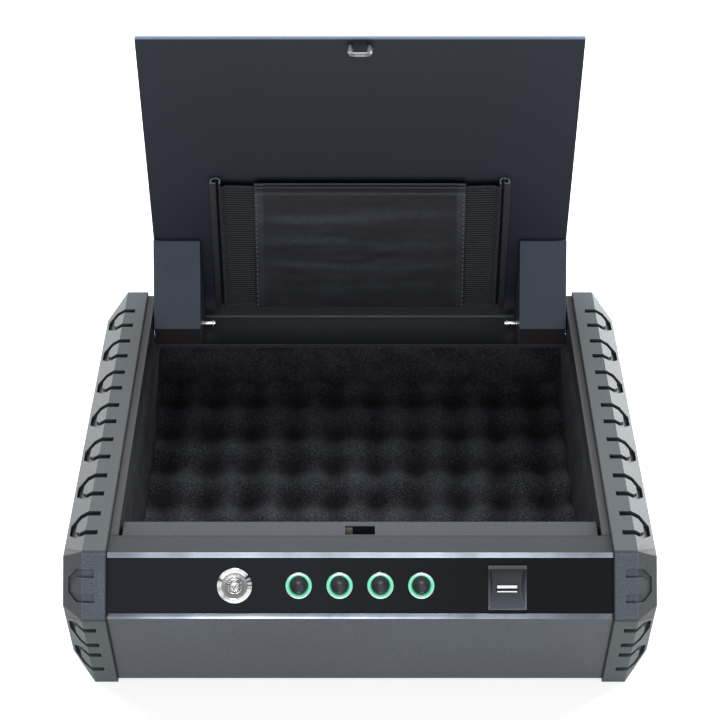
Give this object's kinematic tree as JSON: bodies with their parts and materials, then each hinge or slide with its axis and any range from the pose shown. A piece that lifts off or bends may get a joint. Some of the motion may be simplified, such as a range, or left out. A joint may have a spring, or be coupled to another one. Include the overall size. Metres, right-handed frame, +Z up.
{
  "type": "furniture safe",
  "caption": "Low steel furniture safe with a lift-up lid, key lock, lit buttons and fingerprint reader on a sloping face, side bumpers and a foam-lined cavity.",
  "frame": {"origin": "on the ground, below the middle of the steel case; it lies on the resting face", "axes": "+X to the right as seen from the front, along the long side of the object; +Y to the back, where the lid's hinge is; +Z up. The lid is stored open."},
  "size_m": [0.384, 0.3243, 0.2999],
  "materials": {
    "body_paint": "fine satin powder coat",
    "lid_paint": "smooth satin paint",
    "gusset_paint": "smooth satin paint",
    "bumper_plastic": "fine moulded texture",
    "panel_gloss": "polished",
    "trim_bright": "satin",
    "lock_chrome": "polished",
    "key_steel": "brushed",
    "ring_glow": "translucent, lit from behind",
    "cap_gloss": "polished",
    "reader_plastic": "satin",
    "sensor_gloss": "polished",
    "zinc_steel": "zinc plated",
    "pin_steel": "polished",
    "bush_brass": "satin",
    "catch_brass": "satin",
    "motor_steel": "satin",
    "board_green": "solder-masked board",
    "switch_black": "satin",
    "holder_black": "satin",
    "cell_wrap": "plain shrink sleeve",
    "foam_dark": "open-cell polyurethane foam",
    "liner_dark": "closed-cell foam sheet",
    "rail_paint": "dark anodised",
    "elastic_web": "ribbed elastic webbing",
    "pouch_satin": "satin-weave nylon"
  },
  "bodies": {
    "case": {"case_shell": "body_paint", "mechanism_cover": "body_paint", "left_bumper": "bumper_plastic", "right_bumper": "bumper_plastic", "bumper_screws": "zinc_steel", "control_panel": "panel_gloss", "upper_trim": "trim_bright", "lower_trim": "trim_bright", "lock_housing": "lock_chrome", "lock_nut": "zinc_steel", "button_rings": "ring_glow", "button_switches": "switch_black", "control_board": "board_green", "board_posts": "zinc_steel", "fingerprint_frame": "reader_plastic", "fingerprint_sensor": "sensor_gloss", "latch_bracket": "zinc_steel", "latch_catch": "catch_brass", "latch_motor": "motor_steel", "battery_holder": "holder_black", "battery_cells": "cell_wrap", "floor_foam": "foam_dark", "left_liner": "liner_dark", "right_liner": "liner_dark", "front_liner": "liner_dark", "rear_liner": "liner_dark", "left_hinge_bracket": "zinc_steel", "right_hinge_bracket": "zinc_steel", "hinge_pins": "pin_steel", "pin_clips": "zinc_steel"},
    "lid": {"lid_panel": "lid_paint", "left_gusset": "gusset_paint", "right_gusset": "gusset_paint", "hinge_bushes": "bush_brass", "striker": "zinc_steel", "left_rail": "rail_paint", "right_rail": "rail_paint", "left_elastic": "elastic_web", "right_elastic": "elastic_web", "pouch_back": "pouch_satin", "pouch_front": "pouch_satin"},
    "button_1": {"button_cap_1": "cap_gloss"},
    "button_2": {"button_cap_2": "cap_gloss"},
    "button_3": {"button_cap_3": "cap_gloss"},
    "button_4": {"button_cap_4": "cap_gloss"},
    "key": {"key_cylinder": "key_steel", "key_cam": "zinc_steel"},
    "latch": {"latch_slider": "zinc_steel"},
    "drive": {"drive_cam": "zinc_steel"}
  },
  "joints": [
    {"name": "lid_hinge", "type": "hinge", "parent": "case", "child": "lid", "pos_m": [0, 0.131, 0.078], "axis": [1, 0, 0], "range_deg": [0, 98]},
    {"name": "button_press_1", "type": "slide", "parent": "case", "child": "button_1", "axis": [0, 0.7071, -0.7071], "range_m": [0, 0.001], "stiffness_N_per_m": 300},
    {"name": "button_press_2", "type": "slide", "parent": "case", "child": "button_2", "axis": [0, 0.7071, -0.7071], "range_m": [0, 0.001], "stiffness_N_per_m": 300},
    {"name": "button_press_3", "type": "slide", "parent": "case", "child": "button_3", "axis": [0, 0.7071, -0.7071], "range_m": [0, 0.001], "stiffness_N_per_m": 300},
    {"name": "button_press_4", "type": "slide", "parent": "case", "child": "button_4", "axis": [0, 0.7071, -0.7071], "range_m": [0, 0.001], "stiffness_N_per_m": 300},
    {"name": "key_turn", "type": "hinge", "parent": "case", "child": "key", "pos_m": [-0.0804, -0.125, 0.083], "axis": [0, -0.7071, 0.7071], "range_deg": [0, 90]},
    {"name": "latch_slide", "type": "slide", "parent": "case", "child": "latch", "axis": [0, 1, 0], "range_m": [0, 0.01]},
    {"name": "drive_turn", "type": "hinge", "parent": "case", "child": "drive", "pos_m": [0.008, -0.1007, 0.055], "axis": [0, 0, 1], "range_deg": [0, 90]}
  ],
  "couplings": [
    {"joint": "key_turn", "follows": "latch_slide", "rad_per_m": 157.08},
    {"joint": "drive_turn", "follows": "latch_slide", "rad_per_m": 157.08}
  ]
}
